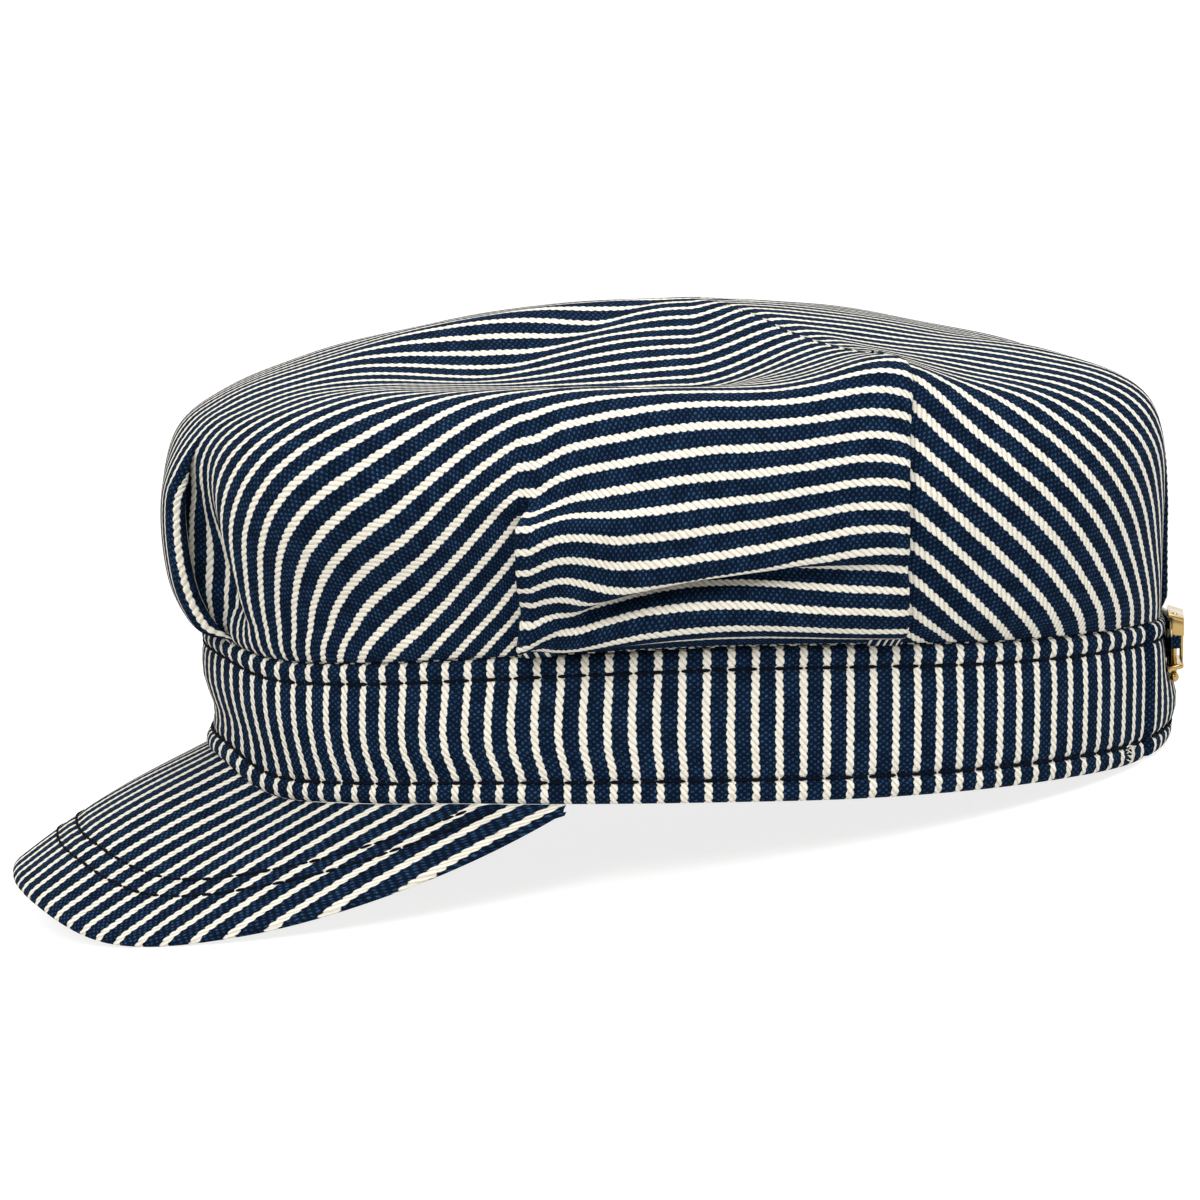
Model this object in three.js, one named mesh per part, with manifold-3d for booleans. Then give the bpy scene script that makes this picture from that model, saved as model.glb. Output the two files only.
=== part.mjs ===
// A railroad engineer's cap of striped cotton: a pleated one-piece crown on a stitched band,
// a stiff cloth-covered peak, and a short strap with a brass buckle at the back.
// Millimetres. The cap is shaped in its own frame, with the head band's lower edge at z = 0,
// +X at the wearer's left and the peak towards -Y, and is then tilted until it rests on the
// tips of the peak and on the back of the band, as a cap does when it is put down.
import * as THREE from "three";
import { ParametricGeometry } from "three/addons/geometries/ParametricGeometry.js";
import { mergeVertices } from "three/addons/utils/BufferGeometryUtils.js";
import Module from "manifold-3d";

// Driving sizes
const headLength = 200; // inside the band, front to back
const headWidth = 165; // inside the band, side to side
const bandWall = 2.6;
const bandHeight = 30.4; // at the sides, where it is tallest
const bandWaist = 2.6; // how far the lower half of the band is drawn in at the front
const bandBulge = 2; // how far the back band swells out below the strap
const backTuck = 1; // how far the strap draws in the back of the band and crown
const bandWelt = 0.5; // how far the two stitched edges of the band stand proud
const bandSeamAngle = 155; // where the side band ends and the back band begins
const bandSeamGap = 0.35; // angle left open there, in degrees
const crownTop = 95.3; // height of the middle of the crown
const crownWall = 1.3;
const crownInset = 0.7; // the crown's foot behind the band's face
const crownStep = 4.6; // widest column of the crown, in degrees
const pleatLayers = 2.6; // the two layers of cloth folded under each pleat
const pleatStep = 0.35; // half the angle that the edge of a pleat takes up, in degrees
const topTrough = 9; // how far the top sinks between its rim and its middle
const pleatTurn = 24; // turn that keeps the pleats upright where the crown overhangs
const peakReach = 41.5; // level distance from the band to the tip of the peak
const peakWall = 3;
const peakCornerAngle = 72.5; // where the peak's corners meet the band
const peakTipSlope = 31; // fall of the peak at its middle, in degrees
const peakSideSlope = 50; // and beside its corners
const peakCrown = 2.0; // how far the peak bulges above a straight fall
const strapWall = 1;
const strapTop = 28.4; // height of the strap's upper edge
const strapSewnAngle = 204; // where the strap is sewn beside the right seam of the band
const strapEndAngle = 168.5; // where its free end stops inside the buckle
const tabWall = 0.8;
const tabTail = 5.2; // length of the tab's tail, from its pin to where it is sewn down
const tabDrop = 0.5; // how far the tail bends in towards the curve of the band
const buckleLength = 18;
const buckleHeight = 12.6;
const buckleRail = 1; // brass above and below the strap
const buckleDepth = 3.4; // from the band to its outer face
const pinInset = 3; // the pin's distance from the near end of the buckle
const pinRadius = 0.5;
const pinBallRadius = 1.1;
const buckleAngle = 171;
const buckleCover = 0.9; // brass over the strap
const gap = 0.3; // clearance between neighbouring pieces
const strapWidth = buckleHeight - 2 * (buckleRail + gap); // slides between the rails

const radians = THREE.MathUtils.degToRad;
const mix = THREE.MathUtils.lerp;
const clamp = THREE.MathUtils.clamp;
const smooth = THREE.MathUtils.smoothstep;

// Angles run from 0 at the front, through 90 at the wearer's left, to 180 at the back.
const sideOf = (angle) => Math.abs(((angle + 540) % 360) - 180);
const bump = (x, middle, wide) => Math.exp(-(((x - middle) / wide) ** 2));

// The head oval, at a distance outside the inner face of the band.
function oval(angle, outside) {
  const s = Math.sin(radians(angle));
  const c = Math.cos(radians(angle));
  return new THREE.Vector3((headWidth / 2 + outside) * s, -(headLength / 2 + outside) * c, 0);
}

// The level direction that points straight out of the oval.
function outwards(angle) {
  const s = Math.sin(radians(angle)) / (headWidth / 2);
  const c = Math.cos(radians(angle)) / (headLength / 2);
  return new THREE.Vector3(s, -c, 0).normalize();
}

// Heights of the band's two edges as shares of its height, every 15 degrees from the front
// to the back. Both sink beside the peak, where the band is pulled down over its corners.
const bandEdges = [
  { angle: 0, lower: 0.0395, upper: 0.8882 },
  { angle: 15, lower: 0.0132, upper: 0.8651 },
  { angle: 30, lower: -0.1283, upper: 0.7862 },
  { angle: 45, lower: -0.102, upper: 0.8158 },
  { angle: 60, lower: -0.0461, upper: 0.8882 },
  { angle: 75, lower: -0.0164, upper: 0.9572 },
  { angle: 90, lower: 0, upper: 1 },
  { angle: 105, lower: 0, upper: 1 },
  { angle: 120, lower: 0.0066, upper: 0.9737 },
  { angle: 135, lower: 0.0164, upper: 0.9605 },
  { angle: 150, lower: 0.023, upper: 0.9539 },
  { angle: 165, lower: 0.0559, upper: 0.9408 },
  { angle: 180, lower: 0.0691, upper: 0.9342 },
];

// Crown sections from the band up to the middle of the top. Reach is a share of the band's
// oval and height a share of the crown's rise, at the front, the sides and the back.
const sections = [
  { name: "foot", reach: [1.0, 1.0, 1.0], height: [0.0, 0.0, 0.0] },
  { name: "roll", reach: [1.045, 1.065, 0.997], height: [0.07, 0.08, 0.07] },
  { name: "lower", reach: [1.078, 1.105, 0.995], height: [0.19, 0.22, 0.2] },
  { name: "belly", reach: [1.086, 1.14, 0.99], height: [0.4, 0.42, 0.4] },
  { name: "shoulder", reach: [1.055, 1.12, 0.968], height: [0.6, 0.63, 0.57] },
  { name: "rim", reach: [0.96, 1.04, 0.912], height: [0.715, 0.765, 0.705] },
  { name: "dish", reach: [0.79, 0.85, 0.755], height: [0.815, 0.825, 0.815] },
  { name: "rise", reach: [0.59, 0.62, 0.56], height: [0.9, 0.885, 0.888] },
  { name: "dome", reach: [0.34, 0.35, 0.33], height: [0.972, 0.965, 0.96] },
  { name: "middle", reach: [0, 0, 0], height: [1, 1, 1] },
];

// Knife pleats at the corners of the octagonal top. Each opens below its start, a share of
// the rise, and over says which neighbour lies on top: -1 the one nearer the front, +1 the
// one nearer the back.
const pleats = [
  { name: "front", angle: 24, start: 0.6, over: -1 },
  { name: "side_front", angle: 67.5, start: 0.46, over: 1 },
  { name: "side_back", angle: 110, start: 0.82, over: -1 },
  { name: "back", angle: 155, start: 0.66, over: 1 },
];
const pleatGrow = 0.28; // share of the rise over which a pleat opens to its full layers
const pleatFade = 13; // degrees over which the raised edge dies away into its panel

// Broad folds. Angle and height place each one, wide and tall give its spread, push is how
// far the cloth moves outwards as a share of the rise, and lean tips it by degrees.
const folds = [
  { name: "front_valley", angle: 28.5, wide: 4, height: 0.22, tall: 0.26, push: -0.16, lean: 0 },
  { name: "front_lip", angle: 22, wide: 7, height: 0.34, tall: 0.24, push: 0.02, lean: 0 },
  { name: "corner_droop", angle: 62, wide: 15, height: 0.46, tall: 0.17, push: 0.075, lean: 0 },
  { name: "under_droop", angle: 55, wide: 16, height: 0.08, tall: 0.17, push: -0.03, lean: 0 },
  { name: "side_crease", angle: 80, wide: 15, height: 0.2, tall: 0.045, push: -0.075, lean: 0.003 },
  { name: "side_roll", angle: 80, wide: 14, height: 0.09, tall: 0.06, push: 0.03, lean: 0 },
  { name: "corner_point", angle: 109, wide: 8, height: 0.78, tall: 0.08, push: 0.068, lean: 0 },
  { name: "back_corner", angle: 155, wide: 12, height: 0.6, tall: 0.2, push: 0.03, lean: 0 },
];

// Catmull-Rom curve through the evenly numbered values of a list.
function through(values, position) {
  const last = values.length - 1;
  const i = Math.min(Math.floor(position), last - 1);
  const t = position - i;
  const p1 = values[i];
  const p2 = values[i + 1];
  const p0 = i > 0 ? values[i - 1] : 2 * p1 - p2;
  const p3 = i + 2 <= last ? values[i + 2] : 2 * p2 - p1;
  const bend = t * (3 * (p1 - p2) + p3 - p0) + 2 * p0 - 5 * p1 + 4 * p2 - p3;
  return p1 + 0.5 * t * (p2 - p0 + t * bend);
}

// Height of one edge of the band.
function bandEdge(edge, angle) {
  return bandHeight * through(bandEdges.map((row) => row[edge]), sideOf(angle) / 15);
}

// The strap draws the upper band and the foot of the crown in at the back.
const tuck = (angle) => backTuck * smooth(sideOf(angle), bandSeamAngle + 3, 172);

// Share of a [front, side, back] value at an angle.
function around([front, side, back], angle) {
  const c = Math.cos(radians(sideOf(angle)));
  return mix(side, c > 0 ? front : back, c * c);
}

// The crown's smooth form: level reach as a share of the oval, and height share.
function meridian(angle, position) {
  return {
    reach: through(sections.map((s) => around(s.reach, angle)), position),
    height: through(sections.map((s) => around(s.height, angle)), position),
  };
}

function foldPush(angle, height) {
  let push = 0;
  for (const fold of folds) {
    const away = sideOf(angle) - fold.angle;
    const middle = fold.height + fold.lean * away;
    push += fold.push * bump(away, 0, fold.wide) * bump(height, middle, fold.tall);
  }
  return push * crownTop * 0.7;
}

// The top is lowest half way between its rim and its middle, most of all beside the front.
function trough(angle, position) {
  const beside = smooth(sideOf(angle), 12, 42) * (1 - smooth(sideOf(angle), 86, 116));
  return topTrough * beside * bump(position, 7.2, 1.3) * (1 - smooth(position, 8.2, 9));
}

// The cloth folded under a pleat lifts the edge of the panel that lies over it.
function pleatLift(angle, height, position) {
  let lift = 0;
  for (const pleat of pleats) {
    const past = (sideOf(angle) - pleat.angle) * pleat.over;
    const open = smooth(pleat.start - height, 0, pleatGrow) * (position < 6 ? 1 : 0);
    if (past > 0) lift += pleatLayers * open * bump(past, 0, pleatFade);
  }
  return lift;
}

// A point of the crown's outer face, or of its inner face, which has no pleats.
function crownPoint(angle, position, inner) {
  const here = meridian(angle, position);
  const before = meridian(angle, Math.max(position - 0.05, 0));
  const after = meridian(angle, Math.min(position + 0.05, sections.length - 1));
  const foot = bandEdge("upper", angle) + gap;
  const turned = angle - pleatTurn * Math.sin(radians(4 * angle)) * Math.max(here.reach - 1, 0);
  const point = oval(turned, bandWall - crownInset - tuck(angle));
  const along = (after.reach - before.reach) * point.length();
  const up = (after.height - before.height) * (crownTop - foot);
  const length = Math.hypot(along, up);
  const level = up / length;
  const rising = -along / length;
  const footed = smooth(position, 0, 1);
  const push = foldPush(angle, here.height) * footed - trough(angle, position)
    + (inner ? -crownWall : pleatLift(angle, here.height, position) * footed);
  point.multiplyScalar(here.reach).addScaledVector(outwards(turned), push * level);
  point.z = mix(foot, crownTop, here.height) + push * rising;
  return point;
}

// Turns a closed mesh made by a parametric geometry into a solid with merged corners.
function closed(geometry) {
  geometry.deleteAttribute("normal");
  geometry.deleteAttribute("uv");
  return mergeVertices(geometry, 1e-3);
}

// A closed wall swept through columns. loop(column) gives the points of one section, which
// close on themselves, and each end is capped by drawing its section together to its middle.
function sweep(columns, loop) {
  const middle = (ring) => {
    const sum = ring.reduce((total, p) => total.add(p), new THREE.Vector3());
    return ring.map(() => sum.clone().divideScalar(ring.length));
  };
  const inside = columns.map(loop);
  const rings = [middle(inside[0]), ...inside, middle(inside[inside.length - 1])];
  const across = rings.length - 1;
  const round = rings[0].length;
  const at = (u, v, target) => {
    const ring = rings[clamp(Math.round(u * across), 0, across)];
    target.copy(ring[clamp(Math.round(v * round), 0, round) % round]);
  };
  return closed(new ParametricGeometry(at, across, round));
}

// Even columns over a range of angles.
function columnsOver(from, to, step) {
  const count = Math.round((to - from) / step);
  return Array.from({ length: count + 1 }, (_, i) => from + ((to - from) * i) / count);
}

// Crown
function crownColumns() {
  const half = [0];
  const stops = [...pleats.map((p) => p.angle), 180];
  for (const [i, stop] of stops.entries()) {
    const start = half[half.length - 1];
    const end = i < pleats.length ? stop - pleatStep : stop;
    const count = Math.ceil((end - start) / crownStep);
    for (let k = 1; k <= count; k++) half.push(mix(start, end, k / count));
    if (i < pleats.length) half.push(stop + pleatStep);
  }
  const other = half.slice(1).reverse().map((angle) => -angle);
  return [...other, ...half];
}

function makeCrown() {
  const columns = crownColumns();
  const top = sections.length - 1;
  const rows = [0, 0.5, 1, 1.5, 2, 2.5, 3, 3.5, 4, 4.5, 5, 5.5, 6, 6.7, 7.4, 8.2, top];
  const across = columns.length - 1;
  const path = [
    ...rows.slice().reverse().map((position) => ({ position, inner: true })),
    ...rows.map((position) => ({ position, inner: false })),
  ];
  const last = path.length - 1;
  const at = (u, v, target) => {
    const angle = columns[clamp(Math.round(u * across), 0, across)];
    const { position, inner } = path[clamp(Math.round(v * last), 0, last)];
    if (position < top) target.copy(crownPoint(angle, position, inner));
    else target.set(0, 0, crownTop - (inner ? crownWall : 0));
  };
  return closed(new ParametricGeometry(at, across, last));
}

// Band: across its height the face swells a little, with proud edges. At the front its lower
// half is drawn in, and at the back it swells out under the strap.
const bandRows = [
  { name: "lower_edge", height: 0.0, face: 0.3 },
  { name: "lower_welt", height: 0.07, face: 1.0 },
  { name: "lower_stitch", height: 0.15, face: 0.1 },
  { name: "waist", height: 0.36, face: 0.5 },
  { name: "swell", height: 0.64, face: 0.9 },
  { name: "upper_stitch", height: 0.85, face: 0.1 },
  { name: "upper_welt", height: 0.93, face: 1.0 },
  { name: "upper_edge", height: 1.0, face: 0.3 },
];

function bandFace(angle, share) {
  const drawn = bandWaist * bump(sideOf(angle), 0, 34) * bump(share, 0.3, 0.22);
  const swollen = bandBulge * smooth(sideOf(angle), bandSeamAngle, 178) * bump(share, 0.32, 0.24);
  return bandWall - drawn + swollen - tuck(angle) * smooth(share, 0.42, 0.6);
}

function bandSection(angle) {
  const out = outwards(angle);
  const place = (distance, share) => {
    const point = oval(angle, 0).addScaledVector(out, distance);
    return point.setZ(mix(bandEdge("lower", angle), bandEdge("upper", angle), share));
  };
  const outer = bandRows.map(({ height, face }) =>
    place(bandFace(angle, height) + bandWelt * (face - 1), height));
  const inner = [1, 0.85, 0.5, 0.15, 0].map((share) =>
    place(bandFace(angle, share) - bandWall, share));
  return [...outer, ...inner];
}

function makeBand(from, to, step) {
  return sweep(columnsOver(from, to, step), bandSection);
}

// Peak: a curved plate whose inner edge follows the lower edge of the band.
const peakRows = [0, 0.16, 0.34, 0.52, 0.7, 0.86, 0.96];

function peakPoint(angle, along) {
  const share = sideOf(angle) / peakCornerAngle;
  const run = Math.max(peakReach * (1 - share ** 2), 0.6);
  const slope = radians(mix(peakTipSlope, peakSideSlope, share ** 1.2));
  const heading = radians(angle * 0.62);
  const edge = oval(angle, 0).addScaledVector(outwards(angle), bandFace(angle, 0) - bandWelt);
  const fall = run * Math.tan(slope);
  const bulge = peakCrown * Math.sin(Math.PI * along ** 1.15) * (1 - share ** 2);
  return new THREE.Vector3(
    edge.x + Math.sin(heading) * run * along,
    edge.y - Math.cos(heading) * run * along,
    bandEdge("lower", angle) - gap - fall * along + bulge,
  );
}

function peakSection(angle) {
  const share = sideOf(angle) / peakCornerAngle;
  const wall = mix(peakWall, peakWall * 0.5, share ** 4);
  const top = peakRows.map((along) => peakPoint(angle, along));
  const under = top.map((point) => point.clone().setZ(point.z - wall)).reverse();
  const nose = peakPoint(angle, 1);
  nose.z -= wall / 2;
  return [...top.reverse(), ...under.reverse(), nose];
}

function makePeak() {
  return sweep(columnsOver(-peakCornerAngle, peakCornerAngle, 5.6), peakSection);
}

// Joining and cutting of closed meshes
const wasm = await Module();
wasm.setup();

function solid(geometry) {
  const mesh = closed(geometry.index ? geometry.toNonIndexed() : geometry);
  return new wasm.Manifold(new wasm.Mesh({
    numProp: 3,
    vertProperties: new Float32Array(mesh.attributes.position.array),
    triVerts: new Uint32Array(mesh.index.array),
  }));
}

function geometryOf(made) {
  const { vertProperties, triVerts } = made.getMesh();
  const geometry = new THREE.BufferGeometry();
  geometry.setAttribute("position", new THREE.BufferAttribute(vertProperties, 3));
  geometry.setIndex(new THREE.BufferAttribute(triVerts, 1));
  return geometry;
}

function box(length, depth, height, x, y, z) {
  return solid(new THREE.BoxGeometry(length, depth, height).translate(x, y, z));
}

function uprightRod(radius, length, x, y, z) {
  const rod = new THREE.CylinderGeometry(radius, radius, length, 12);
  return solid(rod.rotateX(Math.PI / 2).translate(x, y, z));
}

// Strap: a strip over the back band, from its sewn end to just short of the buckle's pin.
const strapNear = (angle) => bandFace(angle, 0.57) + gap;

function strapSection(angle) {
  const corner = (far, z) => oval(angle, 0).addScaledVector(outwards(angle), far).setZ(z);
  const near = strapNear(angle);
  const far = near + strapWall;
  return [
    corner(near, strapTop),
    corner(near, strapTop - strapWidth),
    corner(far, strapTop - strapWidth),
    corner(far, strapTop),
  ];
}

function makeStrap() {
  return sweep(columnsOver(strapEndAngle, strapSewnAngle, 2), strapSection);
}

// Buckle: a brass box frame, straight along the strap. In its own frame +X runs along the
// strap towards the pin, +Y points out of the cap, and y = 0 is the inner face of the band.
const strapMiddle = strapTop - strapWidth / 2;
const buckleNear = strapNear(buckleAngle);
const pinX = buckleLength / 2 - pinInset;
const pinFar = buckleNear + tabWall + gap + pinRadius;

function makeBuckleFrame() {
  const outer = buckleNear + buckleDepth;
  const coverNear = outer - buckleCover;
  const shell = box(buckleLength, buckleDepth, buckleHeight, 0, buckleNear + buckleDepth / 2, 0);
  const inside = buckleHeight - 2 * buckleRail;
  const channel = box(buckleLength + 2, coverNear, inside, 0, coverNear / 2, 0);
  const windowLength = buckleLength * 0.62;
  const windowMiddle = (buckleLength - windowLength) / 2 + 1;
  const window = box(windowLength, 3 * buckleDepth, inside, windowMiddle, outer, 0);
  const hole = uprightRod(pinRadius + gap, buckleHeight + 2, pinX, pinFar, 0);
  return geometryOf(shell.subtract(channel).subtract(window).subtract(hole));
}

// The pin runs through both rails and ends in a ball below them.
function makePin() {
  const top = buckleHeight / 2;
  const bottom = -top - gap - pinBallRadius * 0.8;
  const rod = uprightRod(pinRadius, top - bottom, pinX, pinFar, (top + bottom) / 2);
  const ball = new THREE.SphereGeometry(pinBallRadius, 12, 8).rotateX(Math.PI / 2);
  return geometryOf(rod.add(solid(ball.translate(pinX, pinFar, bottom))));
}

// The tab is a loop of cloth round the pin, with its tail sewn down on the band.
function makeTab() {
  const width = buckleHeight - 2 * buckleRail - 2 * gap;
  const inner = pinRadius + gap;
  const eye = inner + tabWall;
  const tailFar = buckleNear + tabWall;
  const tailEnd = pinX + tabTail;
  const outline = new THREE.Shape();
  outline.moveTo(tailEnd, tailFar + tabWall - tabDrop);
  outline.absarc(pinX, pinFar, eye, Math.PI * 0.25, Math.PI * 1.4, false);
  outline.lineTo(tailEnd, tailFar - tabWall - tabDrop);
  const hole = new THREE.Path();
  hole.absarc(pinX, pinFar, inner, 0, 2 * Math.PI, true);
  outline.holes.push(hole);
  const loop = new THREE.ExtrudeGeometry(outline, {
    depth: width, bevelEnabled: false, curveSegments: 14,
  });
  return closed(loop.translate(0, 0, -width / 2));
}

// Materials
const cloth = (color) => new THREE.MeshStandardMaterial({ color, roughness: 0.92, metalness: 0 });
const stripedCotton = cloth(0x2c4468);
const brass = new THREE.MeshStandardMaterial({ color: 0xb28a45, roughness: 0.32, metalness: 1 });

function piece(name, geometry, material) {
  const mesh = new THREE.Mesh(geometry, material);
  mesh.name = name;
  return mesh;
}

// Assembly
const cap = new THREE.Group();
cap.add(piece("crown", makeCrown(), stripedCotton));
cap.add(piece("band", makeBand(-bandSeamAngle, bandSeamAngle, 6), stripedCotton));
cap.add(piece("band_back",
  makeBand(bandSeamAngle + bandSeamGap, 360 - bandSeamAngle - bandSeamGap, 4.6), stripedCotton));
cap.add(piece("peak", makePeak(), stripedCotton));
cap.add(piece("strap", makeStrap(), stripedCotton));

const buckle = new THREE.Group();
const out = outwards(buckleAngle);
buckle.position.copy(oval(buckleAngle, 0)).setZ(strapMiddle);
buckle.rotation.z = Math.atan2(out.y, out.x) - Math.PI / 2;
buckle.add(piece("buckle_frame", makeBuckleFrame(), brass));
buckle.add(piece("buckle_pin", makePin(), brass));
buckle.add(piece("buckle_tab", makeTab(), stripedCotton));
cap.add(buckle);

// Height of the lowest corner of a piece when the cap leans back by an angle.
function lowest(name, lean) {
  const position = cap.getObjectByName(name).geometry.attributes.position;
  let low = Infinity;
  for (let i = 0; i < position.count; i++)
    low = Math.min(low, position.getZ(i) * Math.cos(lean) - position.getY(i) * Math.sin(lean));
  return low;
}

// The cap leans back until the peak and the back of the band touch the surface together.
function restingTilt() {
  let small = 0;
  let large = radians(30);
  for (let step = 0; step < 40; step++) {
    const lean = (small + large) / 2;
    if (lowest("peak", lean) < lowest("band_back", lean)) small = lean;
    else large = lean;
  }
  return small;
}

// The origin lies under the middle of what the resting cap covers.
const rested = new THREE.Group();
cap.rotation.x = -restingTilt();
rested.add(cap);
rested.updateMatrixWorld(true);
const reach = new THREE.Box3().setFromObject(rested, true);
cap.position.set(-(reach.min.x + reach.max.x) / 2, -(reach.min.y + reach.max.y) / 2, -reach.min.z);

export default rested;
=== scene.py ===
# %% [markdown]
# A railroad engineer's cap of striped cotton, in its resting pose on a pale floor. The packed
# model is loaded first as a fixed frame. Every piece made below takes the place of one of its
# solids, so the cap keeps its real size while the cloth gets its folds, stripes and stitches.

# %% Load the frame
import functools
import math
import random
from collections import namedtuple

import bmesh
import bpy
import numpy as np
from mathutils import Matrix, Vector


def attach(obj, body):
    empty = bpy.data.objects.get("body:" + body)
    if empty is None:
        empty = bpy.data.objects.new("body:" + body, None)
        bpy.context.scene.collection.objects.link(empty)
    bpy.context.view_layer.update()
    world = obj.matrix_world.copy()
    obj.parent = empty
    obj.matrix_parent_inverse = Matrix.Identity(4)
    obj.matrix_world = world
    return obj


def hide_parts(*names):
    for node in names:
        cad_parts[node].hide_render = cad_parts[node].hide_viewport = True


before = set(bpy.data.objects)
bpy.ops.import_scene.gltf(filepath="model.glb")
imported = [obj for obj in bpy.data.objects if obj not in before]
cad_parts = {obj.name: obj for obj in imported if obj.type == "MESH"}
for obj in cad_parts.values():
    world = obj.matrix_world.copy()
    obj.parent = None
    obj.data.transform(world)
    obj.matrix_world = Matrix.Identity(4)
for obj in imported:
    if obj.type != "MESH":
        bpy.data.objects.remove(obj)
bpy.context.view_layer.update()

print("nodes:", ", ".join(sorted(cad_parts)))

# %% [markdown]
# The cap is easiest to describe upright, with its band's lower edge at height 0, the wearer's
# left along +X and the peak along -Y, in millimetres. It rests leaning back on the band, so
# one matrix carries each point from that upright frame into the frame of the model.

# %% From the upright cap to the resting cap
MM = 0.001
REST_LEAN = 8.936136
CAP_ORIGIN = (0.0, 17.913327, 13.901468)

to_rest = (
    Matrix.Scale(MM, 4)
    @ Matrix.Translation(CAP_ORIGIN)
    @ Matrix.Rotation(-math.radians(REST_LEAN), 4, "X")
)


def from_cap(x, y, z):
    return to_rest @ Vector((x, y, z))


print("top of the crown, mm:", [round(c / MM, 1) for c in from_cap(0, 0, 95.3)])

# %% [markdown]
# The camera looks at the wearer's left side from a little in front and above, with a long
# lens. The picture shows the cap upright, so the camera is placed in that frame and then
# leans back with the cap. It comes first so that every later step can be looked at.

# %% Camera
SENSOR = 36.0
CAMERA_DISTANCE = 950.0
CAMERA_HEIGHT_ANGLE = math.radians(6.0)
CAMERA_FRONT_ANGLE = math.radians(4.0)
LOOK_AT = Vector((0.0, -18.3, 31.0))
HALF_PICTURE = 600 * 0.2126

away = Vector((
    math.cos(CAMERA_HEIGHT_ANGLE) * math.cos(CAMERA_FRONT_ANGLE),
    -math.cos(CAMERA_HEIGHT_ANGLE) * math.sin(CAMERA_FRONT_ANGLE),
    math.sin(CAMERA_HEIGHT_ANGLE),
))
right_hand = Vector((0, 0, 1)).cross(away).normalized()
upward = away.cross(right_hand)
camera_turn = Matrix((right_hand, upward, away)).transposed().to_4x4()
camera_lean = Matrix.Rotation(-math.radians(REST_LEAN), 4, "X")

camera_data = bpy.data.cameras.new("studio_camera")
camera_data.lens = SENSOR / 2 / (HALF_PICTURE / CAMERA_DISTANCE)
camera_data.sensor_width = SENSOR
camera_data.clip_end = 20
camera = bpy.data.objects.new("studio_camera", camera_data)
bpy.context.collection.objects.link(camera)
camera.matrix_world = (
    Matrix.Translation(to_rest @ (LOOK_AT + CAMERA_DISTANCE * away)) @ camera_lean @ camera_turn
)
bpy.context.scene.camera = camera
print("camera, m:", [round(c, 3) for c in camera.location], "lens", round(camera_data.lens, 1))

# %% [markdown]
# Colours are made by joining small nodes, for the studio as well as for the cap. A few short
# ways to add and join them keep the recipes readable.

# %% A desk for joining nodes
class NodeDesk:
    """Short ways to add and join the nodes of a material or a world."""

    def __init__(self, owner, shader="Principled BSDF"):
        owner.use_nodes = True
        self.owner = owner
        self.tree = owner.node_tree
        self.shader = self.tree.nodes[shader]

    def fill(self, values):
        """Puts even values on the shader's own sockets."""
        for name, value in values.items():
            self.shader.inputs[name].default_value = value

    def add(self, kind, **settings):
        node = self.tree.nodes.new(kind)
        for key, value in settings.items():
            setattr(node, key, value)
        return node

    def join(self, source, target):
        self.tree.links.new(source, target)

    def math(self, operation, a, b=None, c=None):
        node = self.add("ShaderNodeMath", operation=operation)
        for k, value in enumerate((a, b, c)):
            if value is None:
                continue
            if isinstance(value, (int, float)):
                node.inputs[k].default_value = value
            else:
                self.join(value, node.inputs[k])
        return node.outputs[0]

    def ramp(self, value, low, high, to_low=0.0, to_high=1.0):
        node = self.add("ShaderNodeMapRange", interpolation_type="SMOOTHSTEP")
        self.join(value, node.inputs["Value"])
        node.inputs["From Min"].default_value = low
        node.inputs["From Max"].default_value = high
        node.inputs["To Min"].default_value = to_low
        node.inputs["To Max"].default_value = to_high
        return node.outputs["Result"]

    def blend(self, share, a, b):
        node = self.add("ShaderNodeMix", data_type="RGBA")
        self.join(share, node.inputs["Factor"])
        for value, socket in ((a, node.inputs["A"]), (b, node.inputs["B"])):
            if isinstance(value, tuple):
                socket.default_value = value
            else:
                self.join(value, socket)
        return node.outputs["Result"]

    def noise(self, vector, scale, detail=2.0, roughness=0.5):
        node = self.add("ShaderNodeTexNoise")
        self.join(vector, node.inputs["Vector"])
        node.inputs["Scale"].default_value = scale
        node.inputs["Detail"].default_value = detail
        node.inputs["Roughness"].default_value = roughness
        return node.outputs["Fac"]


print("node helpers:", ", ".join(k for k in vars(NodeDesk) if not k.startswith("_")))

# %% [markdown]
# The cap rests on a wide white table that is lit from below, as small goods often are, so
# the shadow under it stays faint. The table is one large plane that glows a little and also
# takes some light from above.

# %% Lit table
FLOOR_SIZE = 12.0
TABLE_GREY = (0.28, 0.28, 0.28, 1)
TABLE_GLOW = 0.8

floor_mesh = bpy.data.meshes.new("floor")
floor_form = bmesh.new()
bmesh.ops.create_grid(floor_form, x_segments=1, y_segments=1, size=FLOOR_SIZE / 2)
floor_form.to_mesh(floor_mesh)
floor_form.free()
floor = bpy.data.objects.new("floor", floor_mesh)
bpy.context.collection.objects.link(floor)

table = NodeDesk(bpy.data.materials.new("lit_table"))
table.fill({"Base Color": TABLE_GREY, "Roughness": 0.9, "Specular IOR Level": 0.1})
table.fill({"Emission Color": (1, 1, 1, 1), "Emission Strength": TABLE_GLOW})
floor_mesh.materials.append(table.owner)
print("table, m:", FLOOR_SIZE)

# %% [markdown]
# A wide soft light hangs overhead and the key light stands on the side that faces the camera,
# so the folds throw soft shadows forwards. A weak warm light low in front tints the shaded
# cloth. The world is white above and behind, and dim and warm on the camera's side.

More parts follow.
